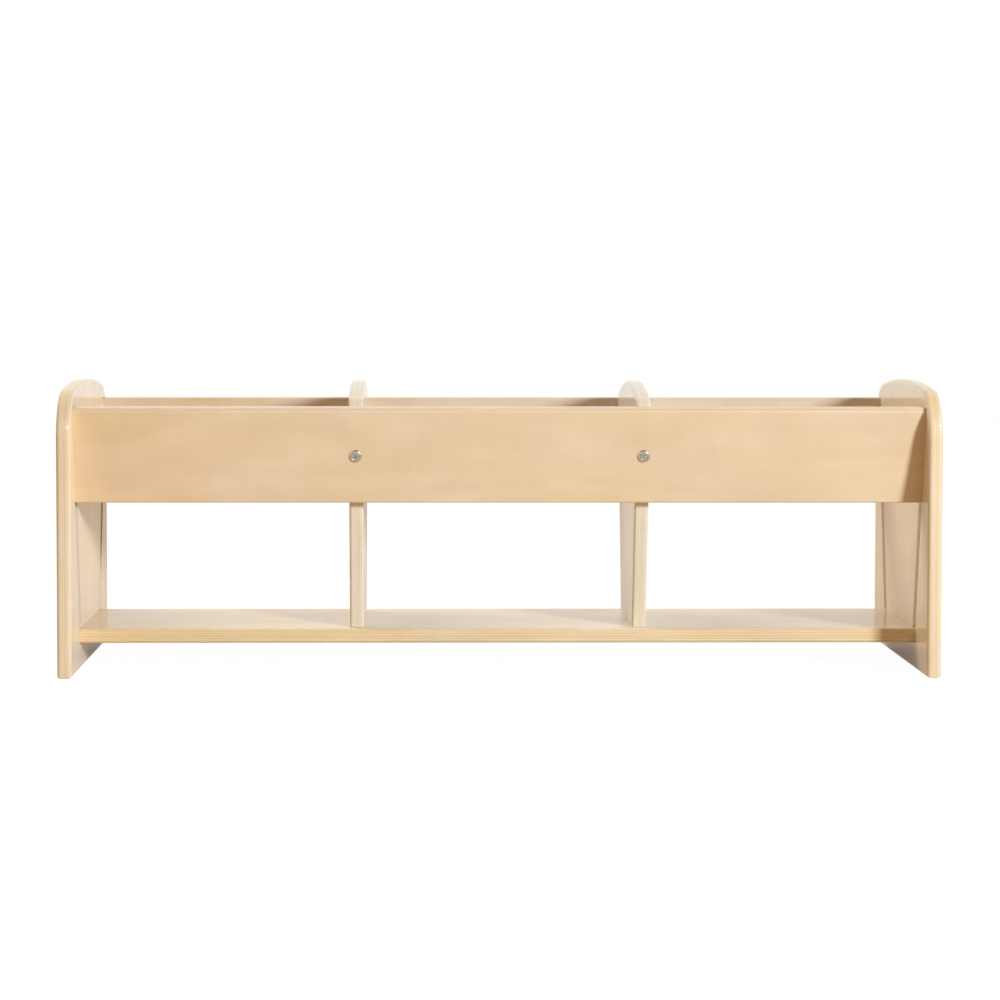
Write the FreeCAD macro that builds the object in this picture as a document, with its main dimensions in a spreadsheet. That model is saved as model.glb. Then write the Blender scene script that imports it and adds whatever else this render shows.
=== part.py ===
import FreeCAD, Part
import math
import os

import Sketcher

# A picture book browser: a low, three-bay bin of birch plywood that shows books face out.
# Two crowned end panels carry a front panel and a back panel that lean outwards like a V, and a
# shelf near the floor. Two dividers taper down between the panels and stand on the shelf.
# X runs along the bin, Y from front to back, Z up. The origin is on the floor, under the middle.

# Driving sizes in millimetres and degrees.
SIZES = {
    # the whole bin
    "overall_length": 914.4,
    "overall_depth": 304.8,
    "overall_height": 304.8,
    "board_thickness": 15.0,
    # outlines of the end panels
    "end_crown_radius": 900.0,
    "end_shoulder_radius": 47.0,
    "end_arris": 4.0,
    # front and back panels: lean, width up the slope, and the place of their upper edge
    "panel_tilt": 11.7,
    "panel_width": 101.6,
    "panel_inset": 15.0,
    "panel_drop": 23.3,
    "panel_top_arris": 5.0,
    "panel_foot_arris": 2.0,
    # bottom shelf
    "shelf_underside": 28.5,
    "shelf_arris": 2.5,
    # dividers
    "divider_drop": 1.5,
    "divider_crown_radius": 430.0,
    "divider_corner_radius": 12.0,
    "divider_arris": 3.0,
    # housings cut into the end panels, and the gap left at every joint between boards
    "housing_depth": 3.0,
    "joint_gap": 0.1,
    # countersunk screws
    "screw_length": 40.0,
    "screw_shank": 4.2,
    "screw_head": 8.4,
    "recess_span": 4.8,
    "recess_slot": 1.2,
    "recess_depth": 1.5,
    "recess_taper": 9.0,
    # pressed cup washers under the screw heads
    "cup_width": 13.4,
    "cup_height": 2.1,
    "cup_rim": 0.7,
    "cup_lip": 0.9,
    # holes for the screws
    "pass_hole": 4.6,
    "pilot_spare": 1.0,
    "fit_gap": 0.1,
}

# Places worked out from the driving sizes. "out" is a distance from the middle plane, "up" a
# height above the floor. The lower outer edge of a leaning panel is called its foot.
PLACES = {
    "shelf_top": "Sizes.shelf_underside + Sizes.board_thickness",
    "inner_half_length": "Sizes.overall_length / 2 - Sizes.board_thickness",
    "board_half_length": "inner_half_length + Sizes.housing_depth - Sizes.joint_gap",
    "divider_out": "(inner_half_length - Sizes.board_thickness) / 3 + Sizes.board_thickness / 2",
    "foot_out": "Sizes.overall_depth / 2 - Sizes.panel_inset"
    " - Sizes.panel_width * sin(Sizes.panel_tilt)",
    "foot_up": "Sizes.overall_height - Sizes.panel_drop"
    " - Sizes.panel_width * cos(Sizes.panel_tilt)"
    " - Sizes.board_thickness * sin(Sizes.panel_tilt)",
    "shelf_out": "foot_out - (foot_up - shelf_top) * tan(Sizes.panel_tilt)",
    "divider_foot_up": "shelf_top + Sizes.joint_gap",
    "divider_foot_out": "foot_out - (foot_up - divider_foot_up) * tan(Sizes.panel_tilt)"
    " - (Sizes.board_thickness + Sizes.joint_gap) / cos(Sizes.panel_tilt)",
    "divider_crown": "Sizes.overall_height - Sizes.divider_drop - divider_foot_up",
    "panel_screw_out": "foot_out + Sizes.panel_width / 2 * sin(Sizes.panel_tilt)",
    "panel_screw_up": "foot_up + Sizes.panel_width / 2 * cos(Sizes.panel_tilt)",
    "housing_run": "(foot_up - shelf_top) / cos(Sizes.panel_tilt)"
    " + Sizes.board_thickness * tan(Sizes.panel_tilt)",
    "pilot_hole": "Sizes.screw_shank + Sizes.fit_gap",
}

# normals of the bin's two mirror planes, and the turn that stands hardware on a leaning panel
ACROSS_LENGTH = FreeCAD.Vector(1, 0, 0)
ACROSS_DEPTH = FreeCAD.Vector(0, 1, 0)
SQUARE_TO_PANEL = "90 + Sizes.panel_tilt"

# lengths below this count as none
SLIVER = 1e-6

# how a sketch constraint names its origin and the points of an element
ORIGIN = (-1, 1)
START, END, CENTRE = range(1, 4)

doc = FreeCAD.newDocument("picture_book_browser")
nodes = []


# Sheet and sketch helpers

def fill_sheet(name, rows):
    """Write one row per value, with the value's name as the alias of its cell."""
    sheet = doc.addObject("Spreadsheet::Sheet", name)
    for row, (alias, content) in enumerate(rows.items(), start=1):
        sheet.set(f"A{row}", alias)
        sheet.set(f"B{row}", content)
        sheet.setAlias(f"B{row}", alias)
    doc.recompute()
    return sheet


sizes = fill_sheet("Sizes", {alias: str(value) for alias, value in SIZES.items()})
fill_sheet("Places", {alias: f"={formula}" for alias, formula in PLACES.items()})


def number(formula):
    """The present value of a formula of the sheets."""
    return float(sizes.evalExpression(formula))


def point(across, up):
    """A point of a sketch from two formulas."""
    return FreeCAD.Vector(number(across), number(up), 0)


def bind(thing, bindings):
    """Tie properties of an object to formulas."""
    for path, formula in bindings.items():
        thing.setExpression(path, formula)


def new_body(label):
    """An empty body whose label is the name of its piece."""
    body = doc.addObject("PartDesign::Body", label)
    body.Label = label
    return body


def new_sketch(body, plane, name, lift="0", across="0", up="0", turn="0"):
    """A sketch on one of the body's own origin planes.

    The sketch is lifted off the plane along its normal, moved in the plane, and turned about
    the normal by the given number of degrees."""
    sketch = body.newObject("Sketcher::SketchObject", f"{body.Label}_{name}")
    planes = [item for item in body.Origin.OriginFeatures if item.Role == plane]
    sketch.AttachmentSupport = (planes[0], "")
    sketch.MapMode = "FlatFace"
    sketch.AttachmentOffset = FreeCAD.Placement(
        point(across, up) + FreeCAD.Vector(0, 0, number(lift)),
        FreeCAD.Rotation(FreeCAD.Vector(0, 0, 1), number(turn)),
    )
    bind(sketch, {
        "AttachmentOffset.Base.x": across,
        "AttachmentOffset.Base.y": up,
        "AttachmentOffset.Base.z": lift,
        "AttachmentOffset.Rotation.Angle": turn,
    })
    return sketch


def dimension(sketch, name, formula, kind, *where):
    """Add a named dimension to a sketch and tie it to a formula."""
    start = number(formula)
    if kind == "Angle":
        start = math.radians(start)
    index = sketch.addConstraint(Sketcher.Constraint(kind, *where, start))
    sketch.renameConstraint(index, name)
    sketch.setExpression(f"Constraints.{name}", formula)


def pin(sketch, name, across, up, element, end):
    """Hold one end of a sketch element at a place given by two formulas."""
    dimension(sketch, f"{name}_across", across, "DistanceX", *ORIGIN, element, end)
    dimension(sketch, f"{name}_up", up, "DistanceY", *ORIGIN, element, end)


def join(sketch, first, second, kind="Coincident"):
    """Join the end of one sketch element to the start of another."""
    sketch.addConstraint(Sketcher.Constraint(kind, first, END, second, START))


def polygon(sketch, corners):
    """A closed outline through corners given as pairs of formulas."""
    spots = [point(*corner) for corner in corners]
    for side, start in enumerate(spots):
        sketch.addGeometry(Part.LineSegment(start, spots[(side + 1) % len(spots)]))
    for side in range(len(spots)):
        join(sketch, side, (side + 1) % len(spots))
    for side, corner in enumerate(corners):
        pin(sketch, f"corner_{side}", *corner, side, START)


def rectangle(sketch, left, right, low, high):
    """A rectangle between two formulas across and two formulas up."""
    polygon(sketch, [(left, low), (right, low), (right, high), (left, high)])


def circles(sketch, diameter, centres):
    """Equal circles at places given as pairs of formulas."""
    for index, centre in enumerate(centres):
        circle = Part.Circle(point(*centre), FreeCAD.Vector(0, 0, 1), number(diameter) / 2)
        sketch.addGeometry(circle)
        pin(sketch, f"centre_{index}", *centre, index, CENTRE)
        dimension(sketch, f"width_{index}", diameter, "Diameter", index)


def crowned_outline(sketch, foot_out, lean, corner, crown, top):
    """The outline of a board that stands on its foot and has a crowned top.

    The sides lean outwards by the angle lean. An arc of the crown radius runs over the top, and
    an arc of the corner radius joins it smoothly to each side."""
    corner_radius = number(corner)
    crown_radius = number(crown)
    angle = math.radians(number(lean))
    foot = FreeCAD.Vector(number(foot_out), 0, 0)
    side = FreeCAD.Vector(math.sin(angle), math.cos(angle), 0)
    inward = FreeCAD.Vector(-math.cos(angle), math.sin(angle), 0)
    crown_centre = FreeCAD.Vector(0, number(top) - crown_radius, 0)
    # the corner's centre lies one corner radius inside the side line, and the difference of
    # the two radii away from the crown's centre
    offset = foot + inward * corner_radius - crown_centre
    along = offset.dot(side)
    reach = (crown_radius - corner_radius) ** 2 - offset.dot(offset)
    run = math.sqrt(along**2 + reach) - along
    corner_centre = foot + inward * corner_radius + side * run
    shoulder = corner_centre - inward * corner_radius
    to_corner = corner_centre - crown_centre
    meeting = math.atan2(to_corner.y, to_corner.x)
    normal = FreeCAD.Vector(0, 0, 1)

    def mirrored(spot):
        return FreeCAD.Vector(-spot.x, spot.y, 0)

    def arc(centre, radius, start, finish):
        return Part.ArcOfCircle(Part.Circle(centre, normal, radius), start, finish)

    foot_line, back_side, back_corner, top_arc, front_corner, front_side = range(6)
    sketch.addGeometry([
        Part.LineSegment(mirrored(foot), foot),
        Part.LineSegment(foot, shoulder),
        arc(corner_centre, corner_radius, -angle, meeting),
        arc(crown_centre, crown_radius, meeting, math.pi - meeting),
        arc(mirrored(corner_centre), corner_radius, math.pi - meeting, math.pi + angle),
        Part.LineSegment(mirrored(shoulder), mirrored(foot)),
    ])
    join(sketch, foot_line, back_side)
    for first in (back_side, back_corner, top_arc, front_corner):
        join(sketch, first, first + 1, "Tangent")
    join(sketch, front_side, foot_line)
    pin(sketch, "back_foot", foot_out, "0", foot_line, END)
    pin(sketch, "front_foot", f"-({foot_out})", "0", foot_line, START)
    dimension(sketch, "back_lean", f"90 - ({lean})", "Angle", back_side)
    dimension(sketch, "front_lean", f"({lean}) - 90", "Angle", front_side)
    dimension(sketch, "back_corner_radius", corner, "Radius", back_corner)
    dimension(sketch, "front_corner_radius", corner, "Radius", front_corner)
    dimension(sketch, "crown_radius", crown, "Radius", top_arc)
    pin(sketch, "crown_centre", "0", f"({top}) - ({crown})", top_arc, CENTRE)


# Feature helpers

def pad(body, sketch, length, midplane=False):
    """A board or block from a sketch, to one side of it or to both."""
    feature = body.newObject("PartDesign::Pad", f"{sketch.Name}_pad")
    feature.Profile = sketch
    feature.SideType = "Symmetric" if midplane else "One side"
    feature.setExpression("Length", length)
    doc.recompute()


def revolve(body, sketch):
    """Turn a half section about the body's upright axis."""
    feature = body.newObject("PartDesign::Revolution", f"{sketch.Name}_turned")
    feature.Profile = sketch
    feature.ReferenceAxis = (sketch, ["V_Axis"])
    doc.recompute()


def pocket(body, sketch, length=None):
    """A cut of a given depth against the sketch's normal, or right through."""
    before = body.Shape.Volume
    feature = body.newObject("PartDesign::Pocket", f"{sketch.Name}_cut")
    feature.Profile = sketch
    if length is None:
        feature.Type = "ThroughAll"
    else:
        feature.setExpression("Length", length)
    doc.recompute()
    if body.Shape.Volume >= before:
        raise RuntimeError(f"{feature.Name} removed nothing")
    return feature


def repeat_at_back(body, cut):
    """Repeat a cut at the front of a body at its back."""
    feature = body.newObject("PartDesign::Mirrored", f"{cut.Name}_at_back")
    feature.Originals = [cut]
    planes = [item for item in body.Origin.OriginFeatures if item.Role == "XZ_Plane"]
    feature.MirrorPlane = (planes[0], [""])
    body.Tip = feature
    doc.recompute()


def fillet(body, radius, wanted, name):
    """Round the edges of the body's last feature that the test wanted picks."""
    base = body.Tip
    edges = [
        f"Edge{index}"
        for index, edge in enumerate(base.Shape.Edges, start=1)
        if wanted(edge)
    ]
    feature = body.newObject("PartDesign::Fillet", f"{body.Label}_{name}")
    feature.Base = (base, edges)
    feature.setExpression("Radius", radius)
    doc.recompute()


def lengthwise(edge):
    """Whether an edge runs along the bin."""
    return edge.BoundBox.XLength > SLIVER


def reflect(source, label, normal):
    """The mirror image of a piece, in a plane through the origin."""
    image = doc.addObject("Part::Mirroring", label)
    image.Label = label
    image.Source = source
    image.Normal = normal
    return image


# End panels

def left_end_panel():
    """The left end board: crowned top, rounded arrises, and housings in its inner face.

    The shelf sits in a level housing. Each leaning panel sits in a sloping one, which runs on
    down past the panel's foot into the housing of the shelf."""
    body = new_body("left_end_panel")
    body.setExpression("Placement.Base.x", "-Sizes.overall_length / 2")
    outline = new_sketch(body, "YZ_Plane", "outline")
    crowned_outline(
        outline,
        foot_out="Sizes.overall_depth / 2",
        lean="0",
        corner="Sizes.end_shoulder_radius",
        crown="Sizes.end_crown_radius",
        top="Sizes.overall_height",
    )
    pad(body, outline, "Sizes.board_thickness")
    fillet(body, "Sizes.end_arris", lambda edge: not lengthwise(edge), "arrises")

    face = "Sizes.board_thickness"
    level = new_sketch(body, "YZ_Plane", "shelf_housing", lift=face)
    rectangle(
        level,
        "-(Places.shelf_out + Sizes.joint_gap)",
        "Places.shelf_out + Sizes.joint_gap",
        "Sizes.shelf_underside - Sizes.joint_gap",
        "Places.shelf_top + Sizes.joint_gap",
    )
    pocket(body, level, "Sizes.housing_depth")

    # a sketch in the slope of the front panel, with its origin at the panel's foot
    sloping = new_sketch(
        body,
        "YZ_Plane",
        "panel_housing",
        lift=face,
        across="-Places.foot_out",
        up="Places.foot_up",
        turn="Sizes.panel_tilt",
    )
    rectangle(
        sloping,
        "-Sizes.joint_gap",
        "Sizes.board_thickness + Sizes.joint_gap",
        "-Places.housing_run",
        "Sizes.panel_width + Sizes.joint_gap",
    )
    repeat_at_back(body, pocket(body, sloping, "Sizes.housing_depth"))
    return body


# Front and back panels

def front_panel():
    """The leaning front board: its outer face is y = 0 and its foot z = 0 before it leans."""
    body = new_body("front_panel")
    bind(body, {
        "Placement.Base.y": "-Places.foot_out",
        "Placement.Base.z": "Places.foot_up",
    })
    body.Placement.Rotation = FreeCAD.Rotation(FreeCAD.Vector(1, 0, 0), number("Sizes.panel_tilt"))
    body.setExpression("Placement.Rotation.Angle", "Sizes.panel_tilt")
    section = new_sketch(body, "YZ_Plane", "section")
    rectangle(section, "0", "Sizes.board_thickness", "0", "Sizes.panel_width")
    pad(body, section, "2 * Places.board_half_length", midplane=True)
    middle = number("Sizes.panel_width / 2")
    fillet(
        body,
        "Sizes.panel_top_arris",
        lambda edge: lengthwise(edge) and edge.BoundBox.ZMin > middle,
        "top_arrises",
    )
    fillet(
        body,
        "Sizes.panel_foot_arris",
        lambda edge: lengthwise(edge) and edge.BoundBox.ZMax < SLIVER,
        "foot_arrises",
    )
    divider_holes = new_sketch(body, "XZ_Plane", "divider_screw_holes")
    circles(
        divider_holes,
        "Sizes.pass_hole",
        [
            ("-Places.divider_out", "Sizes.panel_width / 2"),
            ("Places.divider_out", "Sizes.panel_width / 2"),
        ],
    )
    pocket(body, divider_holes)
    return body


# Bottom shelf

def bottom_shelf():
    """The shelf that the books and the dividers stand on; z = 0 is its underside."""
    body = new_body("bottom_shelf")
    body.setExpression("Placement.Base.z", "Sizes.shelf_underside")
    section = new_sketch(body, "YZ_Plane", "section")
    rectangle(section, "-Places.shelf_out", "Places.shelf_out", "0", "Sizes.board_thickness")
    pad(body, section, "2 * Places.board_half_length", midplane=True)
    fillet(body, "Sizes.shelf_arris", lengthwise, "arrises")
    return body


# Dividers

def left_divider():
    """The left divider: it tapers down between the panels; z = 0 is its foot on the shelf."""
    body = new_body("left_divider")
    bind(body, {
        "Placement.Base.x": "-Places.divider_out",
        "Placement.Base.z": "Places.divider_foot_up",
    })
    outline = new_sketch(body, "YZ_Plane", "outline")
    crowned_outline(
        outline,
        foot_out="Places.divider_foot_out",
        lean="Sizes.panel_tilt",
        corner="Sizes.divider_corner_radius",
        crown="Sizes.divider_crown_radius",
        top="Places.divider_crown",
    )
    pad(body, outline, "Sizes.board_thickness", midplane=True)
    fillet(
        body,
        "Sizes.divider_arris",
        lambda edge: not lengthwise(edge) and edge.BoundBox.ZMax > SLIVER,
        "arrises",
    )
    # this sketch is tipped into the outer face of the front panel, round the screw
    panel_hole = new_sketch(body, "XZ_Plane", "panel_pilot_hole")
    panel_hole.AttachmentOffset = FreeCAD.Placement(
        FreeCAD.Vector(0, 0, 0),
        FreeCAD.Rotation(FreeCAD.Vector(1, 0, 0), number("Sizes.panel_tilt")),
    )
    bind(panel_hole, {
        "AttachmentOffset.Base.y": "Places.panel_screw_up - Places.divider_foot_up",
        "AttachmentOffset.Base.z": "Places.panel_screw_out",
        "AttachmentOffset.Rotation.Angle": "Sizes.panel_tilt",
    })
    circles(panel_hole, "Places.pilot_hole", [("0", "0")])
    repeat_at_back(body, pocket(body, panel_hole, "Sizes.screw_length + Sizes.pilot_spare"))
    return body


# Screws and cup washers

def screw():
    """A countersunk screw; z = 0 is the face that its cup washer sits on."""
    body = new_body("screw")
    profile = new_sketch(body, "XZ_Plane", "profile")
    shank = "Sizes.screw_shank / 2"
    head = "Sizes.screw_head / 2"
    polygon(
        profile,
        [
            ("0", "-Sizes.screw_length"),
            (shank, "-Sizes.screw_length"),
            (shank, f"Sizes.cup_height - ({head} - {shank})"),
            (head, "Sizes.cup_height"),
            ("0", "Sizes.cup_height"),
        ],
    )
    revolve(body, profile)
    cross = new_sketch(body, "XY_Plane", "recess", lift="Sizes.cup_height")
    wide = "Sizes.recess_span / 2"
    thin = "Sizes.recess_slot / 2"
    corners = [(wide, thin), (thin, thin), (thin, wide)]
    quarters = [("", ""), ("-", ""), ("-", "-"), ("", "-")]
    outline = []
    for index, (left, down) in enumerate(quarters):
        turned = corners if index % 2 == 0 else corners[::-1]
        outline += [(f"{left}{across}", f"{down}{up}") for across, up in turned]
    polygon(cross, outline)
    cut = pocket(body, cross, "Sizes.recess_depth")
    cut.setExpression("TaperAngle", "Sizes.recess_taper")
    doc.recompute()
    return body


def cup_washer():
    """A cup washer: a raised ring whose cone takes the screw's head."""
    body = new_body("cup_washer")
    profile = new_sketch(body, "XZ_Plane", "profile")
    rim = "Sizes.cup_width / 2"
    mouth = "Sizes.screw_head / 2 + Sizes.fit_gap"
    polygon(
        profile,
        [
            (f"{mouth} - Sizes.cup_height", "0"),
            (rim, "0"),
            (rim, "Sizes.cup_rim"),
            (f"{mouth} + Sizes.cup_lip", "Sizes.cup_height"),
            (mouth, "Sizes.cup_height"),
        ],
    )
    revolve(body, profile)
    return body


def at_front_joints(label, master):
    """One piece of hardware at each joint of the front panel and a divider, as one group."""
    links = []
    for side, sign in (("left", "-"), ("right", "")):
        link = doc.addObject("App::Link", f"{label}_{side}")
        link.setLink(master)
        link.Placement.Rotation = FreeCAD.Rotation(ACROSS_LENGTH, number(SQUARE_TO_PANEL))
        bind(link, {
            "Placement.Base.x": f"{sign}Places.divider_out",
            "Placement.Base.y": "-Places.panel_screw_out",
            "Placement.Base.z": "Places.panel_screw_up",
            "Placement.Rotation.Angle": SQUARE_TO_PANEL,
        })
        links.append(link)
    group = doc.addObject("Part::Compound", label)
    group.Label = label
    group.Links = links
    return group


# Assembly

def add_pair(piece, twin_label, normal):
    """Keep a piece and its mirror image on the other side of the bin."""
    nodes.extend([piece, reflect(piece, twin_label, normal)])


add_pair(left_end_panel(), "right_end_panel", ACROSS_LENGTH)
add_pair(front_panel(), "back_panel", ACROSS_DEPTH)
nodes.append(bottom_shelf())
add_pair(left_divider(), "right_divider", ACROSS_LENGTH)

add_pair(at_front_joints("front_panel_screws", screw()), "back_panel_screws", ACROSS_DEPTH)
add_pair(
    at_front_joints("front_panel_cup_washers", cup_washer()),
    "back_panel_cup_washers",
    ACROSS_DEPTH,
)

doc.recompute()

for item in doc.Objects:
    if "Invalid" in item.State or "Error" in item.State:
        raise RuntimeError(f"{item.Label} failed to compute: {item.State}")
for node in nodes:
    if node.Shape.isNull() or not node.Shape.isValid():
        raise RuntimeError(f"{node.Label} has no valid shape")

os.makedirs("parts", exist_ok=True)
for node in nodes:
    node.Shape.exportStep(f"parts/{node.Label}.step")
    print(f"{node.Label}: {len(node.Shape.Solids)} solids, {node.Shape.Volume:.1f} mm3")
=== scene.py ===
import math

import bmesh
import bpy
import numpy as np
from mathutils import Euler, Matrix, Vector


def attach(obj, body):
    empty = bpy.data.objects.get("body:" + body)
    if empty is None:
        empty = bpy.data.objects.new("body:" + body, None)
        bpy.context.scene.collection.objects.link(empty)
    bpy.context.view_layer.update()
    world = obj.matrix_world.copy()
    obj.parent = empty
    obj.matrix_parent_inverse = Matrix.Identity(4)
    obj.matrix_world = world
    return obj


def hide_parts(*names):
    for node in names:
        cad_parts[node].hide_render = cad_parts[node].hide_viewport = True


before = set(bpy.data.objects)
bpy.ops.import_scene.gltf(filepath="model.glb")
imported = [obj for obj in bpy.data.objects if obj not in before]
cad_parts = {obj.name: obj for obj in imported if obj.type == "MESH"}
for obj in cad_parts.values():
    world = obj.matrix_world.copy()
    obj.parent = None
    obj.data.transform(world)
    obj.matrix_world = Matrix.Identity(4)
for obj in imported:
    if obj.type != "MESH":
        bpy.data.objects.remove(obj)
bpy.context.view_layer.update()


# The bin is looked at from just over book height, a little to the left of its middle and a
# little downwards. The lens is shifted as well, so that the boards stand all but upright in the
# picture. The sensor stands on end, and its height fills the picture.

EYE = Vector((-0.0848, -2.7325, 0.3872))
LOOK_DOWN = math.radians(2.428)
LOOK_RIGHT = math.radians(0.860)
LEAN = math.radians(0.068)
FOCAL_MM = 90.43
SENSOR_WIDE_MM = 33.0
SENSOR_HIGH_MM = 36.0
LENS_SHIFT = (0.044, -0.090)

lens = bpy.data.cameras.new("eye")
lens.lens = FOCAL_MM
lens.sensor_fit = "VERTICAL"
lens.sensor_width = SENSOR_WIDE_MM
lens.sensor_height = SENSOR_HIGH_MM
lens.shift_x, lens.shift_y = LENS_SHIFT
camera = bpy.data.objects.new("eye", lens)
camera.location = EYE
aim = Euler((math.pi / 2 - LOOK_DOWN, 0.0, -LOOK_RIGHT)).to_matrix()
camera.rotation_euler = (aim @ Matrix.Rotation(LEAN, 3, "Z")).to_euler()
bpy.context.scene.collection.objects.link(camera)
bpy.context.scene.camera = camera


# The two end boards are cut from 15 mm birch plywood of eleven plies, with the face grain
# upright and every arris routed round, so that the plies show as stripes along the edges.
# They are sanded and sprayed with two coats of clear satin lacquer.

BOARD = 0.015
PLIES = 11
PLY = BOARD / PLIES
QUARTER = math.pi / 2
WHITE = [1.0, 1.0, 1.0, 1.0]


def new_group(name, inputs, outputs):
    """An empty shader group. Each input has a default value, and each output a kind of value:
    a tuple is a direction or place, a list a colour, and a float a number."""
    group = bpy.data.node_groups.new(name, "ShaderNodeTree")
    kinds = {tuple: "NodeSocketVector", list: "NodeSocketColor", float: "NodeSocketFloat"}
    for label, value in inputs.items():
        socket = group.interface.new_socket(label, in_out="INPUT", socket_type=kinds[type(value)])
        socket.default_value = value
    for label, kind in outputs.items():
        group.interface.new_socket(label, in_out="OUTPUT", socket_type=kinds[kind])
    given = group.nodes.new("NodeGroupInput").outputs
    result = group.nodes.new("NodeGroupOutput").inputs
    return group, given, result


def feed(tree, value, socket):
    """Set a socket to a plain value, or join another node's output to it."""
    if isinstance(value, bpy.types.NodeSocket):
        tree.links.new(value, socket)
    else:
        socket.default_value = value


def arithmetic(tree, operation, *terms, clamp=False):
    """The output of a Math node on numbers or other outputs."""
    node = tree.nodes.new("ShaderNodeMath")
    node.operation = operation
    node.use_clamp = clamp
    for term, socket in zip(terms, node.inputs):
        feed(tree, term, socket)
    return node.outputs[0]


def held_between(tree, value, low, high):
    """The value, but never under low or over high."""
    return arithmetic(tree, "MINIMUM", arithmetic(tree, "MAXIMUM", value, low), high)


def blend(tree, share, first, second, kind="RGBA"):
    """The first value where the share is 0, the second where it is 1."""
    node = tree.nodes.new("ShaderNodeMix")
    node.data_type = kind
    live = [socket for socket in node.inputs if socket.enabled]
    for term, socket in zip((share, first, second), live):
        feed(tree, term, socket)
    return next(socket for socket in node.outputs if socket.enabled)


def ramp(tree, value, low, high):
    """A smooth rise from 0 at low to 1 at high."""
    node = tree.nodes.new("ShaderNodeMapRange")
    node.interpolation_type = "SMOOTHSTEP"
    for socket, term in (("Value", value), ("From Min", low), ("From Max", high)):
        feed(tree, term, node.inputs[socket])
    return node.outputs[0]


def axes_of(tree, arrow):
    """The X, Y and Z of a place or a direction."""
    node = tree.nodes.new("ShaderNodeSeparateXYZ")
    feed(tree, arrow, node.inputs[0])
    return node.outputs


def recoloured(tree, colour, **changes):
    """A colour with its Hue, Saturation or Value changed."""
    node = tree.nodes.new("ShaderNodeHueSaturation")
    feed(tree, colour, node.inputs["Color"])
    for socket, term in changes.items():
        feed(tree, term, node.inputs[socket])
    return node.outputs[0]


def grain_noise(tree, place, per_metre, detail, roughness=0.5):
    """Noise drawn out along the grain, from -1 to 1: so many waves per metre on each axis."""
    mapping = tree.nodes.new("ShaderNodeMapping")
    feed(tree, place, mapping.inputs["Vector"])
    feed(tree, per_metre, mapping.inputs["Scale"])
    noise = tree.nodes.new("ShaderNodeTexNoise")
    feed(tree, mapping.outputs[0], noise.inputs["Vector"])
    for socket, term in (("Scale", 1.0), ("Detail", detail), ("Roughness", roughness)):
        feed(tree, term, noise.inputs[socket])
    return arithmetic(tree, "MULTIPLY_ADD", noise.outputs["Fac"], 2.0, -1.0)


# Each figure has its waves per metre along the grain, across it and into the board, then the
# noise's detail and, if need be, roughness. A rise is the two values between which a mask
# goes from none to all.

CLOUDS = ((9.0, 20.0, 60.0), 2.0)
CLOUD_BEND = (0.004, 0.010, 0.0)
SWELL = ((1.6, 7.0, 60.0), 1.0)
RINGS_IN_SWELL = 38.0
FLAME = ((48.0, 17.0, 60.0), 2.0)
HAIRS = ((45.0, 1500.0, 1500.0), 2.0, 0.6)
FLECKS = ((140.0, 1100.0, 1100.0), 1.0)
FLECK_RISE = (0.40, 0.62)
STREAKS = ((16.0, 500.0, 800.0), 2.0)
STREAK_RISE = (0.22, 0.55)
DRIFT = ((7.0, 14.0, 30.0), 1.0)
DRIFT_RISE = (-0.4, 0.4)
PALENESS = ((1.2, 3.0, 12.0), 0.0)
PALE_RISE = (-0.35, 0.35)
END_GRAIN_RISE = (0.35, 0.95)
FLAT_RISE = (0.55, 0.98)

CLOUD_WEIGHT = 0.09
RING_WEIGHT = 0.010
FLAME_WEIGHT = 0.03
HAIR_WEIGHT = 0.03
FLECK_WEIGHT = -0.08
STREAK_WEIGHT = -0.17

PLY_TONE = 0.97
PLY_TONE_SPREAD = 0.06
PALE_TONE = 0.97
PALE_TONE_GAIN = 0.06
HUE = 0.504
DRIFT_HUE = -0.008
RICHNESS = 1.145
DRIFT_RICHNESS = -0.09
PALE_RICHNESS = -0.20
FIGURE_RICHNESS = -1.2

GLUE_BROWN = (0.27, 0.145, 0.06, 1.0)
GLUE_REACH = 0.09
GLUE_SHOWS = 0.18
WOOD_ROUGH = 0.45
HAIR_ROUGH = 0.04
END_GRAIN_ROUGH = 0.08
RING_HEIGHT = 0.2
FLECK_HEIGHT = -0.7


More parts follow.
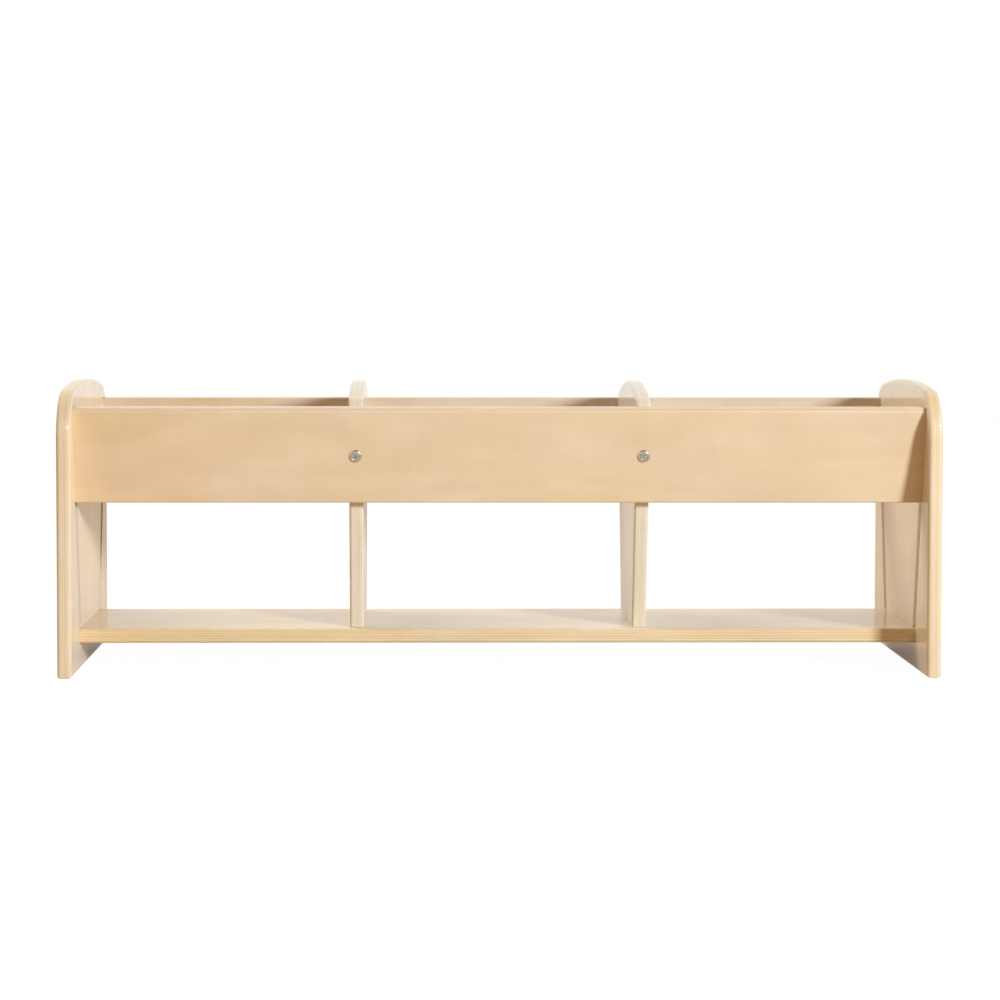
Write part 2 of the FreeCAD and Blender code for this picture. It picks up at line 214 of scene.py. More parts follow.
def birch_plywood_group():
    """Birch plywood all through a board, worked out from a place in it.

    Place has x along the face grain, y across it, and z the depth under one face; Facing is the
    surface's direction on the same axes. Depth over ply thickness gives the number of the ply.
    Even plies have their grain along x and odd ones along y, and a ply shows end grain as far
    as the surface faces along its grain. The figure is a weighted sum of broad clouds, the
    faint contours of the rings that the ply was peeled through, a flame, fine hairs, small dark
    flecks and, where plies show on an edge, long dark streaks. Hue, richness and tone drift
    slowly along the veneer, every inner ply has a tone of its own, and thin brown glue lines
    part the plies."""
    group, given, result = new_group(
        "birch_plywood",
        {"Place": (0.0, 0.0, 0.0), "Facing": (0.0, 0.0, 1.0), "Face": WHITE,
         "Long Ply": WHITE, "End Ply": WHITE},
        {"Color": list, "Roughness": float, "Height": float},
    )
    spot = axes_of(group, given["Place"])
    toward = axes_of(group, given["Facing"])

    depth = arithmetic(group, "DIVIDE", spot["Z"], PLY)
    number = held_between(group, arithmetic(group, "FLOOR", depth), 0.0, PLIES - 1.0)
    crossed = arithmetic(group, "FLOORED_MODULO", number, 2.0)
    from_middle = arithmetic(group, "SUBTRACT", number, PLIES // 2)
    from_middle = arithmetic(group, "ABSOLUTE", from_middle)
    outer = arithmetic(group, "GREATER_THAN", from_middle, PLIES // 2 - 0.5)

    swapped = group.nodes.new("ShaderNodeCombineXYZ")
    for source, target in (("Y", "X"), ("X", "Y"), ("Z", "Z")):
        feed(group, spot[source], swapped.inputs[target])
    place = blend(group, crossed, given["Place"], swapped.outputs[0], "VECTOR")
    along = blend(group, crossed, toward["X"], toward["Y"], "FLOAT")
    end_grain = ramp(group, arithmetic(group, "ABSOLUTE", along), *END_GRAIN_RISE)
    flat = ramp(group, arithmetic(group, "ABSOLUTE", toward["Z"]), *FLAT_RISE)

    clouds = grain_noise(group, place, *CLOUDS)
    bent = group.nodes.new("ShaderNodeVectorMath")
    bent.operation = "MULTIPLY_ADD"
    for term, socket in zip((clouds, CLOUD_BEND, place), bent.inputs):
        feed(group, term, socket)
    bent = bent.outputs[0]
    swell = grain_noise(group, bent, *SWELL)
    rings = arithmetic(group, "SINE", arithmetic(group, "MULTIPLY", swell, RINGS_IN_SWELL))
    flame = grain_noise(group, bent, *FLAME)
    hairs = grain_noise(group, bent, *HAIRS)
    flecks = ramp(group, grain_noise(group, place, *FLECKS), *FLECK_RISE)
    streaks = ramp(group, grain_noise(group, place, *STREAKS), *STREAK_RISE)
    streaks = arithmetic(group, "MULTIPLY", streaks, arithmetic(group, "SUBTRACT", 1.0, flat))
    figure = arithmetic(group, "MULTIPLY", clouds, CLOUD_WEIGHT)
    for part, weight in ((rings, RING_WEIGHT), (flame, FLAME_WEIGHT), (hairs, HAIR_WEIGHT),
                         (flecks, FLECK_WEIGHT), (streaks, STREAK_WEIGHT)):
        figure = arithmetic(group, "MULTIPLY_ADD", part, weight, figure)

    log = group.nodes.new("ShaderNodeTexWhiteNoise")
    log.noise_dimensions = "1D"
    feed(group, number, log.inputs["W"])
    tone = arithmetic(group, "MULTIPLY_ADD", log.outputs["Value"], PLY_TONE_SPREAD, PLY_TONE)
    tone = blend(group, outer, tone, 1.0, "FLOAT")
    veneer = arithmetic(group, "MULTIPLY", outer, flat)
    bare = blend(group, veneer, given["Long Ply"], given["Face"])
    bare = blend(group, end_grain, bare, given["End Ply"])

    drift = ramp(group, grain_noise(group, place, *DRIFT), *DRIFT_RISE)
    paler = ramp(group, grain_noise(group, place, *PALENESS), *PALE_RISE)
    hue = arithmetic(group, "MULTIPLY_ADD", drift, DRIFT_HUE, HUE)
    richness = arithmetic(group, "MULTIPLY_ADD", drift, DRIFT_RICHNESS, RICHNESS)
    richness = arithmetic(group, "MULTIPLY_ADD", paler, PALE_RICHNESS, richness)
    lift = arithmetic(group, "MULTIPLY_ADD", paler, PALE_TONE_GAIN, PALE_TONE)
    tone = arithmetic(group, "MULTIPLY", tone, lift)
    tinted = recoloured(group, bare, Hue=hue, Saturation=richness)
    value = arithmetic(group, "MULTIPLY_ADD", figure, tone, tone)
    fade = arithmetic(group, "MULTIPLY_ADD", figure, FIGURE_RICHNESS, 1.0)
    shaded = recoloured(group, tinted, Value=value, Saturation=fade)

    joint = held_between(group, arithmetic(group, "ROUND", depth), 1.0, PLIES - 1.0)
    away = arithmetic(group, "ABSOLUTE", arithmetic(group, "SUBTRACT", depth, joint))
    glue = arithmetic(group, "SUBTRACT", 1.0, ramp(group, away, 0.0, GLUE_REACH))
    glue = arithmetic(group, "MULTIPLY", glue, GLUE_SHOWS)
    feed(group, blend(group, glue, shaded, GLUE_BROWN), result["Color"])

    rough = arithmetic(group, "MULTIPLY_ADD", hairs, HAIR_ROUGH, WOOD_ROUGH)
    rough = arithmetic(group, "MULTIPLY_ADD", end_grain, END_GRAIN_ROUGH, rough)
    feed(group, rough, result["Roughness"])
    height = arithmetic(group, "MULTIPLY_ADD", rings, RING_HEIGHT, hairs)
    height = arithmetic(group, "MULTIPLY_ADD", flecks, FLECK_HEIGHT, height)
    feed(group, height, result["Height"])
    return group


birch_plywood = birch_plywood_group()

WALL_STEEP = 0.5
WALL_REACH = 0.13
WALL_FOOT = 0.02
WALL_TOP = 0.285


def housing_wall_painted_light_group():
    """The walls of an end board's housings carry painted light and shade: they take a colour of
    their own, paler where they lie in shade and duller where the light falls on them. A wall is
    where the surface is steep to the board's face, which looks along x, and well inside the
    board's outline."""
    group, given, result = new_group(
        "housing_wall_painted_light",
        {"Place": (0.0, 0.0, 0.0), "Facing": (1.0, 0.0, 0.0), "Veneer": WHITE, "Wall": WHITE},
        {"Color": list},
    )
    spot = axes_of(group, given["Place"])
    toward = axes_of(group, given["Facing"])
    steep = arithmetic(group, "ABSOLUTE", toward["X"])
    steep = arithmetic(group, "LESS_THAN", steep, WALL_STEEP)
    inside = arithmetic(group, "ABSOLUTE", spot["Y"])
    inside = arithmetic(group, "LESS_THAN", inside, WALL_REACH)
    above = arithmetic(group, "GREATER_THAN", spot["Z"], WALL_FOOT)
    below = arithmetic(group, "LESS_THAN", spot["Z"], WALL_TOP)
    wall = arithmetic(group, "MULTIPLY", arithmetic(group, "MULTIPLY", steep, inside),
                      arithmetic(group, "MULTIPLY", above, below))
    feed(group, blend(group, wall, given["Veneer"], given["Wall"]), result["Color"])
    return group


housing_wall_painted_light = housing_wall_painted_light_group()


def new_surface(name):
    """A new material, its tree and the inputs of its Principled shader."""
    material = bpy.data.materials.new(name)
    material.use_nodes = True
    tree = material.node_tree
    return material, tree, tree.nodes["Principled BSDF"].inputs


def put_group(tree, group, given):
    """Place a group in a tree with its inputs set or joined. Its outputs are returned."""
    node = tree.nodes.new("ShaderNodeGroup")
    node.node_tree = group
    for label, value in given.items():
        feed(tree, value, node.inputs[label])
    return node.outputs


def put_bump(tree, surface, height, strength, distance):
    """Let a height turn the light on a surface."""
    bump = tree.nodes.new("ShaderNodeBump")
    for socket, term in (("Strength", strength), ("Distance", distance), ("Height", height)):
        feed(tree, term, bump.inputs[socket])
    feed(tree, bump.outputs[0], surface["Normal"])


GRAIN_STRENGTH = 0.10
GRAIN_DEPTH = 0.0001
COAT_ROUGH = 0.07
WOOD_SPECULAR = 0.15


def lacquered_birch(node, turn, sheet, face, long_ply, end_ply, coat, wall=None):
    """Give a board its lacquered plywood.

    turn brings the bin's axes to the board's own: x along the face grain and z through the
    board. The board's z starts at its lowest vertex on that axis, so that the plies begin at
    the face. sheet tells how far along the veneer the board was cut, coat how much the clear
    lacquer shows, and wall is a colour painted on the housings' walls that stands in for their
    light and shade."""
    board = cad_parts[node]
    spots = np.empty(3 * len(board.data.vertices))
    board.data.vertices.foreach_get("co", spots)
    turned = spots.reshape(-1, 3) @ np.array(Euler(turn).to_matrix()).T
    start = -turned.min(axis=0)

    material, tree, surface = new_surface(f"{node}_birch")
    source = tree.nodes.new("ShaderNodeTexCoord").outputs
    given = {"Face": (*face, 1.0), "Long Ply": (*long_ply, 1.0), "End Ply": (*end_ply, 1.0)}
    for kind, axes, label in (("POINT", "Object", "Place"), ("VECTOR", "Normal", "Facing")):
        mapping = tree.nodes.new("ShaderNodeMapping")
        mapping.vector_type = kind
        feed(tree, source[axes], mapping.inputs["Vector"])
        feed(tree, turn, mapping.inputs["Rotation"])
        if kind == "POINT":
            start_on_sheet = (start[0] + sheet, start[1] + sheet, start[2])
            feed(tree, start_on_sheet, mapping.inputs["Location"])
        given[label] = mapping.outputs[0]
    wood = put_group(tree, birch_plywood, given)
    colour = wood["Color"]
    # Painted light and shade: where wall is given, the housings' walls take that colour instead of
    # the veneer.
    if wall:
        walls = {"Place": source["Object"], "Facing": source["Normal"], "Veneer": colour,
                 "Wall": (*wall, 1.0)}
        colour = put_group(tree, housing_wall_painted_light, walls)["Color"]
    feed(tree, colour, surface["Base Color"])
    feed(tree, wood["Roughness"], surface["Roughness"])
    put_bump(tree, surface, wood["Height"], GRAIN_STRENGTH, GRAIN_DEPTH)
    feed(tree, coat, surface["Coat Weight"])
    feed(tree, COAT_ROUGH, surface["Coat Roughness"])
    feed(tree, WOOD_SPECULAR, surface["Specular IOR Level"])
    board.data.materials.clear()
    board.data.materials.append(material)


UPRIGHT_GRAIN = (0.0, QUARTER, 0.0)
END_BOARD_FACE = (0.88, 0.72, 0.505)
END_BOARD_END_PLY = (0.82, 0.635, 0.402)
END_BOARD_COAT = 0.66
# Painted light and shade: the end boards' long plies differ in tone, darker on the left to damp
# the light on its front edge and paler on the right to lift the shade on its inner arris.
LEFT_LONG_PLY_PAINTED_SHADE = (0.77, 0.605, 0.402)
LEFT_WALL_PAINTED_LIGHT = (0.66, 0.56, 0.45)
LEFT_SHEET = 1.0
RIGHT_LONG_PLY_PAINTED_LIGHT = (0.87, 0.725, 0.51)
RIGHT_WALL_PAINTED_LIGHT = (0.95, 0.90, 0.82)
RIGHT_SHEET = 3.0

# The wall colours are painted light and shade: duller on the left board, where the light falls on
# its walls, and paler on the right, where its walls lie in shade.
for side, sheet, long_ply, wall in (("left", LEFT_SHEET, LEFT_LONG_PLY_PAINTED_SHADE, LEFT_WALL_PAINTED_LIGHT),
                                    ("right", RIGHT_SHEET, RIGHT_LONG_PLY_PAINTED_LIGHT, RIGHT_WALL_PAINTED_LIGHT)):
    lacquered_birch(f"{side}_end_panel", UPRIGHT_GRAIN, sheet, END_BOARD_FACE, long_ply,
                    END_BOARD_END_PLY, END_BOARD_COAT, wall)


# The front and back boards lean outwards like a V. They are ripped from the same plywood with
# the grain along the bin, glued into sloping housings in the end boards, and their upper
# arrises are routed to a larger round, which bares four plies on each side.

FRONT_FACE = (0.775, 0.573, 0.352)
FRONT_SHEET = 9.11
BACK_FACE = (0.68, 0.53, 0.37)
BACK_SHEET = 11.85
PANEL_LONG_PLY = (0.80, 0.64, 0.45)
PANEL_END_PLY = (0.78, 0.595, 0.40)
PANEL_COAT = 0.55
TILT = math.radians(11.7)

for side, turn, sheet, face in (("front", QUARTER - TILT, FRONT_SHEET, FRONT_FACE),
                                ("back", TILT - QUARTER, BACK_SHEET, BACK_FACE)):
    lacquered_birch(f"{side}_panel", (turn, 0.0, 0.0), sheet, face, PANEL_LONG_PLY,
                    PANEL_END_PLY, PANEL_COAT)


# The shelf lies near the floor and carries the books. It is the same plywood with the grain
# along the bin, its ends are glued into level housings, and its long edges have small rounds.

SHELF_FACE = (0.778, 0.622, 0.41)
SHELF_LONG_PLY = (0.83, 0.65, 0.402)
SHELF_END_PLY = (0.77, 0.585, 0.337)
SHELF_COAT = 0.52
SHELF_SHEET = 9.0
LYING_FLAT = (0.0, 0.0, 0.0)

lacquered_birch("bottom_shelf", LYING_FLAT, SHELF_SHEET, SHELF_FACE, SHELF_LONG_PLY,
                SHELF_END_PLY, SHELF_COAT)


# The two dividers stand on the shelf between the leaning boards, cut to the taper of the V with
# crowned tops. They are of paler birch plywood with the grain upright and rounded arrises, and
# the leaning boards are screwed to their edges.

DIVIDER_FACE = (0.832, 0.755, 0.65)
DIVIDER_LONG_PLY = (0.825, 0.735, 0.585)
DIVIDER_END_PLY = (0.785, 0.69, 0.53)
DIVIDER_COAT = 0.66
DIVIDER_SHEETS = {"left": 15.0, "right": 17.0}

for side, sheet in DIVIDER_SHEETS.items():
    lacquered_birch(f"{side}_divider", UPRIGHT_GRAIN, sheet, DIVIDER_FACE, DIVIDER_LONG_PLY,
                    DIVIDER_END_PLY, DIVIDER_COAT)


# Each leaning board is held to the dividers by two countersunk screws with pressed cup washers.
# A cup washer is one ring of thin nickel-plated sheet: its skirt lies on the wood, its crown is
# rolled over, and its throat is the cone that takes the screw's head.

JOINT_OUT = 0.12711
JOINT_UP = 0.22870
JOINT_ACROSS = 0.14990


def joint_places(face):
    """The two places of a board's screws: z points out of the board. face is -1 or 1 in y."""
    out = Vector((0.0, face * math.cos(TILT), -math.sin(TILT)))
    across = Vector((1.0, 0.0, 0.0))
    turn = Matrix((across, out.cross(across), out)).transposed()
    return [
        Matrix.Translation((sign * JOINT_ACROSS, face * JOINT_OUT, JOINT_UP)) @ turn.to_4x4()
        for sign in (-1.0, 1.0)
    ]


def turned_shell(radius, height, closed):
    """A surface carried round an axis.

    radius and height are grids over the ring (first index) and the turn (second index), and a
    point is (radius cos turn, radius sin turn, height). Where closed is true the last ring
    joins the first, and otherwise the first and last rings are single points on the axis."""
    rings, steps = radius.shape
    turn = np.arange(steps) * (2 * math.pi / steps)
    points = np.stack([radius * np.cos(turn), radius * np.sin(turn), height], axis=-1)
    ring = np.arange(rings if closed else rings - 1)[:, None]
    step = np.arange(steps)[None, :]
    beside = (step + 1) % steps
    above = (ring + 1) % rings
    quads = np.stack([ring * steps + step, above * steps + step,
                      above * steps + beside, ring * steps + beside], axis=-1)
    return points.reshape(-1, 3), quads.reshape(-1, 4)


SAME_SPOT = 1e-7


def metal_piece(name, shell, places, material, node):
    """One object with a copy of the shell at each place, standing for the node. The attribute
    hollow is 1 where the metal can't be polished and painted shade darkens it, and 0 where it
    stands proud."""
    points, faces, hollow = shell
    matrices = [np.array(place) for place in places]
    spots = np.concatenate([points @ matrix[:3, :3].T + matrix[:3, 3] for matrix in matrices])
    corners = np.concatenate([faces + copy * len(points) for copy in range(len(places))])
    mesh = bpy.data.meshes.new(name)
    mesh.from_pydata(spots.tolist(), [], corners.tolist())
    mesh.attributes.new("hollow", "FLOAT", "POINT").data.foreach_set(
        "value", np.tile(hollow.ravel(), len(places)))
    build = bmesh.new()
    build.from_mesh(mesh)
    bmesh.ops.remove_doubles(build, verts=build.verts, dist=SAME_SPOT)
    bmesh.ops.dissolve_degenerate(build, edges=build.edges, dist=SAME_SPOT)
    bmesh.ops.recalc_face_normals(build, faces=build.faces)
    build.to_mesh(mesh)
    build.free()
    mesh.shade_smooth()
    mesh.materials.append(material)
    piece = bpy.data.objects.new(name, mesh)
    bpy.context.scene.collection.objects.link(piece)
    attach(piece, "root")
    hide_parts(node)


PATCHES = ((420.0, 420.0, 420.0), 2.0)
SCRATCHES = ((900.0, 6000.0, 6000.0), 2.0, 0.7)
DULL_RISE = (0.0, 0.5)
DULL_SHADE = -0.12
DULL_ROUGH = 0.08
# Painted shade: a dark brown-grey blended into the plating in its hollows, standing in for the
# shade in the screw's recess, at its rim and in the cup washers' throats.
PAINTED_HOLLOW_SHADE = (0.07, 0.058, 0.040, 1.0)
HOLLOW_ROUGH = 0.2
SCRATCH_ROUGH = 0.04
SCRATCH_STRENGTH = 0.15
SCRATCH_DEPTH = 0.00002


def plated_wear_and_shade_group():
    """Wear and painted shade on bright plating, worked out from a place on it: slow patches where
    the plating has gone duller and darker, fine scratches, and painted shade in the hollows, a
    dark brown-grey that stands in for the shade there, where the metal is rougher as well."""
    group, given, result = new_group(
        "plated_wear_and_shade",
        {"Place": (0.0, 0.0, 0.0), "Plate": WHITE, "Shine": 0.2, "Hollow": 0.0},
        {"Color": list, "Roughness": float, "Height": float},
    )
    patches = grain_noise(group, given["Place"], *PATCHES)
    scratches = grain_noise(group, given["Place"], *SCRATCHES)
    dull = ramp(group, patches, *DULL_RISE)
    shade = arithmetic(group, "MULTIPLY_ADD", dull, DULL_SHADE, 1.0)
    faded = recoloured(group, given["Plate"], Value=shade)
    # Painted shade: the plating is blended toward the dark brown-grey as far as the point is
    # hollow, and the hollows are made rougher as well.
    dull_and_painted_shade = ramp(group, given["Hollow"], 0.0, 1.0)
    feed(group, blend(group, dull_and_painted_shade, faded, PAINTED_HOLLOW_SHADE), result["Color"])
    rough = given["Shine"]
    for part, weight in ((dull, DULL_ROUGH), (dull_and_painted_shade, HOLLOW_ROUGH), (scratches, SCRATCH_ROUGH)):
        rough = arithmetic(group, "MULTIPLY_ADD", part, weight, rough)
    feed(group, rough, result["Roughness"])
    feed(group, scratches, result["Height"])
    return group


plated_wear_and_shade = plated_wear_and_shade_group()


def plated_metal(name, plate, shine):
    """Tumbled and plated steel. plate is the colour of clean plating and shine its roughness."""
    material, tree, surface = new_surface(name)
    source = tree.nodes.new("ShaderNodeTexCoord").outputs
    hollow = tree.nodes.new("ShaderNodeAttribute")
    hollow.attribute_name = "hollow"
    plating = put_group(tree, plated_wear_and_shade, {
        "Place": source["Object"], "Hollow": hollow.outputs["Fac"], "Plate": (*plate, 1.0),
        "Shine": shine})
    feed(tree, plating["Color"], surface["Base Color"])
    feed(tree, plating["Roughness"], surface["Roughness"])
    put_bump(tree, surface, plating["Height"], SCRATCH_STRENGTH, SCRATCH_DEPTH)
    feed(tree, 1.0, surface["Metallic"])
    return material


CUP_RADIUS = 0.0067
CUP_HEIGHT = 0.0021
CUP_SHEET = 0.0004
CROWN_ROUND = 0.0005
CROWN_MIDDLE = 0.004507
CROWN_OVER = math.radians(45)
SKIRT_RINGS = 14
CROWN_RINGS = 7
THROAT_RINGS = 5
CUP_STEPS = 96
CUP_DULL_AND_SHADE_FROM = 0.4
CUP_DULL_AND_SHADE_RISE = 2
CUP_NICKEL = (0.63, 0.59, 0.49)
CUP_SHINE = 0.16


def cup_washer_shell():
    """The pressed ring. Over its outside the section is a quarter ellipse from the foot to the
    crown, an arc of the crown's radius that goes 45 degrees past the top, and the straight
    throat down to the wood. The inside of the sheet is the same line, one sheet thickness in
    along its normal."""
    skirt = np.linspace(0.0, QUARTER, SKIRT_RINGS)
    crown = np.linspace(QUARTER, QUARTER + CROWN_OVER, CROWN_RINGS)[1:]
    throat = np.linspace(0.0, 1.0, THROAT_RINGS)[1:]
    seam_r = CROWN_MIDDLE - CROWN_ROUND * math.sin(CROWN_OVER)
    seam_z = CUP_HEIGHT - CROWN_ROUND * (1 - math.cos(CROWN_OVER))
    drop = seam_z - CUP_SHEET / 2
    radius = np.concatenate([
        CROWN_MIDDLE + (CUP_RADIUS - CROWN_MIDDLE) * np.cos(skirt),
        CROWN_MIDDLE + CROWN_ROUND * np.cos(crown),
        seam_r - drop * throat,
    ])
    height = np.concatenate([
        CUP_HEIGHT * np.sin(skirt),
        CUP_HEIGHT - CROWN_ROUND * (1 - np.sin(crown)),
        seam_z - drop * throat,
    ])
    slope_r, slope_z = np.gradient(radius), np.gradient(height)
    length = np.hypot(slope_r, slope_z)
    under_r = radius - CUP_SHEET * slope_z / length
    under_z = np.maximum(height + CUP_SHEET * slope_r / length, 0.0)
    section_r = np.concatenate([radius, under_r[::-1]])
    section_z = np.concatenate([height, under_z[::-1]])
    around = np.ones(CUP_STEPS)
    points, quads = turned_shell(np.outer(section_r, around), np.outer(section_z, around),
                                 closed=True)
    # Painted shade: hollow rises across the crown's inner slope and is full in the throat and on
    # the underside, so the plating there is darkened to stand in for shade, and roughened.
    inward = CROWN_MIDDLE - CROWN_ROUND * CUP_DULL_AND_SHADE_FROM - section_r
    hollow = np.clip(inward / CROWN_ROUND * CUP_DULL_AND_SHADE_RISE, 0.0, 1.0)
    return points, quads, np.outer(hollow, around)


cup_nickel = plated_metal("cup_nickel", CUP_NICKEL, CUP_SHINE)
for name, face in (("front", -1.0), ("back", 1.0)):
    metal_piece(f"{name}_cup_washer_pair", cup_washer_shell(), joint_places(face), cup_nickel,
                f"{name}_panel_cup_washers")


# The screws are 4.2 x 40 mm nickel-plated steel, with raised countersunk heads and a cross
# recess. The shank is plain through the leaning board, and its thread holds in the edge of the
# divider.

HEAD_RADIUS = 0.0042
HEAD_EDGE = 0.0020
HEAD_RISE = 0.00045
HEAD_RIM = 0.0001
HEAD_RINGS = 34
SHANK_RADIUS = 0.0021
SHANK_TOP = -0.001
CORE_RADIUS = 0.0014
THREAD_PITCH = 0.0019
THREAD_TOP = -0.0155
THREAD_END = -0.0365
RINGS_PER_PITCH = 8
RIDGE_STEEPNESS = 4.0
SCREW_TIP = -0.0400
TIP_SHARE = 0.3
WING_REACH = 0.0024
WING_HALF = 0.00062
WING_WALL = 0.00016
RECESS_DEPTH = 0.0016
RECESS_SLOPE = 2.6
RECESS_DULL_AND_SHADE = 0.35
RIM_DULL_AND_SHADE_FROM = 0.90
RIM_DULL_AND_SHADE_RISE = 0.08
SCREW_STEPS = 96


def screw_shell():
    """The whole screw as one surface.

    Its head is a low dome less the recess: for a point whose larger coordinate is a and whose
    smaller one is b, the recess is as deep as its slope times what is left of the wing beyond
    a, up to the full depth, and it fades out over the wing's wall as b passes the half width.
    Below come the cone and the plain shank. The thread's radius is the core's, plus a ridge
    where the height in pitches plus the turn is halfway between two whole numbers."""
    turn = np.arange(SCREW_STEPS) * (2 * math.pi / SCREW_STEPS)
    around = np.ones(SCREW_STEPS)
    share = np.linspace(0.0, 1.0, HEAD_RINGS)[:, None]
    head_r = share * HEAD_RADIUS * around
    across, up = np.abs(head_r * np.cos(turn)), np.abs(head_r * np.sin(turn))
    far, near = np.maximum(across, up), np.minimum(across, up)
    deep = np.clip((WING_REACH - far) * RECESS_SLOPE, 0.0, RECESS_DEPTH)
    dome_z = HEAD_EDGE + HEAD_RISE * (1 - share**2)
    head_z = dome_z - deep * np.clip((WING_HALF - near) / WING_WALL + 0.5, 0.0, 1.0)

    cone_top = HEAD_EDGE - 2 * HEAD_RIM
    neck_r = np.array([HEAD_RADIUS, HEAD_RADIUS, SHANK_RADIUS, SHANK_RADIUS, SHANK_RADIUS])
    neck_z = np.array([HEAD_EDGE - HEAD_RIM, cone_top, cone_top - (HEAD_RADIUS - SHANK_RADIUS),
                       SHANK_TOP, THREAD_TOP])
    thread_z = np.arange(THREAD_TOP, THREAD_END, -THREAD_PITCH / RINGS_PER_PITCH)[1:]
    wave = (thread_z[:, None] / THREAD_PITCH + turn / (2 * math.pi)) % 1.0
    ridge = np.clip(1.0 - np.abs(wave - 0.5) * RIDGE_STEEPNESS, 0.0, 1.0)
    fade = np.clip((THREAD_TOP - thread_z) / THREAD_PITCH, 0.0, 1.0)[:, None]
    taper = (thread_z - SCREW_TIP) / (THREAD_END - SCREW_TIP) / 2
    taper = np.clip(taper, TIP_SHARE, 1.0)[:, None]
    thread_r = (CORE_RADIUS + (SHANK_RADIUS - CORE_RADIUS) * ridge * fade) * taper
    radius = np.concatenate([head_r, np.outer(neck_r, around), thread_r,
                             np.zeros((1, SCREW_STEPS))])
    height = np.concatenate([head_z, np.outer(neck_z, around), np.outer(thread_z, around),
                             np.full((1, SCREW_STEPS), SCREW_TIP)])
    points, quads = turned_shell(radius, height, closed=False)

    # Painted shade: the head's rim, where it meets the cup washer, is marked fully hollow and the
    # cross recess partly by its depth, so the plating is darkened there to stand in for shade;
    # below the head, hidden in the wood, all is hollow.
    hollow = np.ones_like(radius)
    rim = np.clip((share - RIM_DULL_AND_SHADE_FROM) / RIM_DULL_AND_SHADE_RISE, 0.0, 1.0)
    recess = (dome_z - head_z) / RECESS_DEPTH
    hollow[:len(share)] = np.maximum(recess * RECESS_DULL_AND_SHADE, rim)
    return points, quads, hollow


SCREW_NICKEL = (0.60, 0.575, 0.49)
SCREW_SHINE = 0.22
SCREW_TURNS = {"front": (0.35, 1.15), "back": (0.80, 0.10)}

screw_nickel = plated_metal("screw_nickel", SCREW_NICKEL, SCREW_SHINE)
for name, face in (("front", -1.0), ("back", 1.0)):
    places = [
        place @ Matrix.Rotation(angle, 4, "Z")
        for place, angle in zip(joint_places(face), SCREW_TURNS[name])
    ]
    metal_piece(f"{name}_screw_pair", screw_shell(), places, screw_nickel,
                f"{name}_panel_screws")


# The bin stands on a pale matt sweep in an even room. One soft lamp lights it from the front
# right and a broad one from behind on the left, and a dark card overhead shows in bright metal.

FLOOR_HALF = 6.0
FLOOR_GLOW = 0.978
FLOOR_SHADOW = (0.10, 0.10, 0.10, 1.0)
FLOOR_BOUNCE = (0.64, 0.50, 0.36, 1.0)
GLOSS_SHARE = 0.36


def pale_sweep():
    """A pale matt sweep. To the eye it is white with a faint shadow, and gloss shows that white
    in part, so that the shadow under the bin stays dark in the lacquer."""
    material = bpy.data.materials.new("pale_sweep")
    material.use_nodes = True
    tree = material.node_tree
    tree.nodes.clear()
    matt = tree.nodes.new("ShaderNodeBsdfDiffuse")
    feed(tree, FLOOR_BOUNCE, matt.inputs["Color"])
    faint = tree.nodes.new("ShaderNodeBsdfDiffuse")
    feed(tree, FLOOR_SHADOW, faint.inputs["Color"])
    glow = tree.nodes.new("ShaderNodeEmission")
    feed(tree, FLOOR_GLOW, glow.inputs["Strength"])
    bright = tree.nodes.new("ShaderNodeAddShader")
    feed(tree, faint.outputs[0], bright.inputs[0])
    feed(tree, glow.outputs[0], bright.inputs[1])
    ray = tree.nodes.new("ShaderNodeLightPath").outputs
    gloss = arithmetic(tree, "ADD", ray["Is Glossy Ray"], ray["Is Transmission Ray"], clamp=True)
    choice = tree.nodes.new("ShaderNodeMixShader")
    share = arithmetic(tree, "MULTIPLY_ADD", gloss, GLOSS_SHARE, ray["Is Camera Ray"], clamp=True)
    for term, socket in zip((share, matt.outputs[0], bright.outputs[0]), choice.inputs):
        feed(tree, term, socket)
    output = tree.nodes.new("ShaderNodeOutputMaterial")
    feed(tree, choice.outputs[0], output.inputs["Surface"])
    return material


def square_sheet(name, half, material):
    """A flat square with its face up, reaching half of its side each way."""
    mesh = bpy.data.meshes.new(name)
    corners = [(-half, -half, 0.0), (half, -half, 0.0), (half, half, 0.0), (-half, half, 0.0)]
    mesh.from_pydata(corners, [], [(0, 1, 2, 3)])
    mesh.materials.append(material)
    sheet = bpy.data.objects.new(name, mesh)
    bpy.context.scene.collection.objects.link(sheet)
    return sheet


square_sheet("floor", FLOOR_HALF, pale_sweep())

BIN_MIDDLE = Vector((0.0, 0.0, 0.15))
DARK_CLOTH = (0.03, 0.028, 0.025, 1.0)


def set_on_stand(thing, azimuth, height, distance):
    """Put a lamp or a card so many degrees right of the front and above the floor, and so far
    from the bin, turned to its middle."""
    side, rise = math.radians(azimuth), math.radians(height)
    toward = Vector((math.sin(side) * math.cos(rise), -math.cos(side) * math.cos(rise),
                     math.sin(rise)))
    thing.location = BIN_MIDDLE + toward * distance
    thing.rotation_euler = toward.to_track_quat("Z", "Y").to_euler()


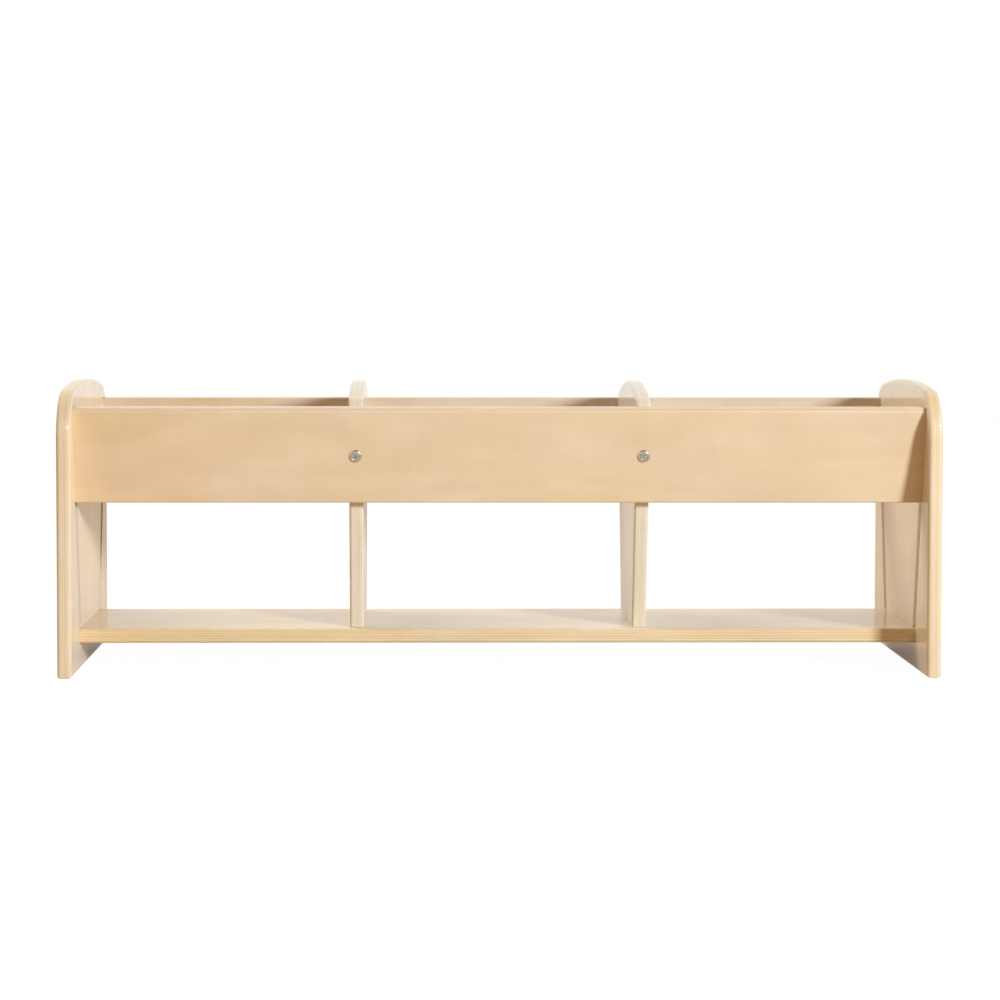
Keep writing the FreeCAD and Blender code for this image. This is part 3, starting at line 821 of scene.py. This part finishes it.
def soft_lamp(name, width, watts, colour):
    """A round soft lamp."""
    data = bpy.data.lights.new(name, "AREA")
    data.shape = "DISK"
    data.size = width
    data.energy = watts
    data.color = colour
    lamp = bpy.data.objects.new(name, data)
    bpy.context.scene.collection.objects.link(lamp)
    return lamp


def dark_card(name, width):
    """A square of dark cloth. Only gloss sees it, so that bright metal has a dark side too, and
    it takes no light from the wood."""
    material, tree, surface = new_surface(name)
    feed(tree, DARK_CLOTH, surface["Base Color"])
    feed(tree, 1.0, surface["Roughness"])
    card = square_sheet(name, width / 2, material)
    card.visible_camera = False
    card.visible_diffuse = False
    card.visible_shadow = False
    card.visible_transmission = False
    return card


key_lamp = soft_lamp("key_lamp", width=1.0, watts=356.0, colour=(0.83, 0.915, 1.0))
set_on_stand(key_lamp, azimuth=37.0, height=16.3, distance=6.0)
rear_lamp = soft_lamp("rear_lamp", width=1.6, watts=43.0, colour=(1.0, 1.0, 1.0))
rear_lamp.visible_glossy = False
set_on_stand(rear_lamp, azimuth=232.0, height=50.0, distance=2.4)
set_on_stand(dark_card("dark_card", width=2.6), azimuth=-20.0, height=76.0, distance=1.6)

ROOM_LEVEL = 0.23
ROOM_TINT = (1.0, 0.66, 0.33, 1.0)

world = bpy.data.worlds.new("even_room")
bpy.context.scene.world = world
world.use_nodes = True
tree = world.node_tree
tree.nodes.clear()
room = tree.nodes.new("ShaderNodeBackground")
feed(tree, ROOM_LEVEL, room.inputs["Strength"])
feed(tree, ROOM_TINT, room.inputs["Color"])
white = tree.nodes.new("ShaderNodeBackground")
feed(tree, WHITE, white.inputs["Color"])
ray = tree.nodes.new("ShaderNodeLightPath").outputs
seen = arithmetic(tree, "ADD", ray["Is Camera Ray"], ray["Is Glossy Ray"], clamp=True)
seen = arithmetic(tree, "ADD", seen, ray["Is Transmission Ray"], clamp=True)
choice = tree.nodes.new("ShaderNodeMixShader")
for term, socket in zip((seen, room.outputs[0], white.outputs[0]), choice.inputs):
    feed(tree, term, socket)
output = tree.nodes.new("ShaderNodeOutputWorld")
feed(tree, choice.outputs[0], output.inputs["Surface"])

bpy.context.scene.view_settings.view_transform = "Standard"

bpy.context.view_layer.update()
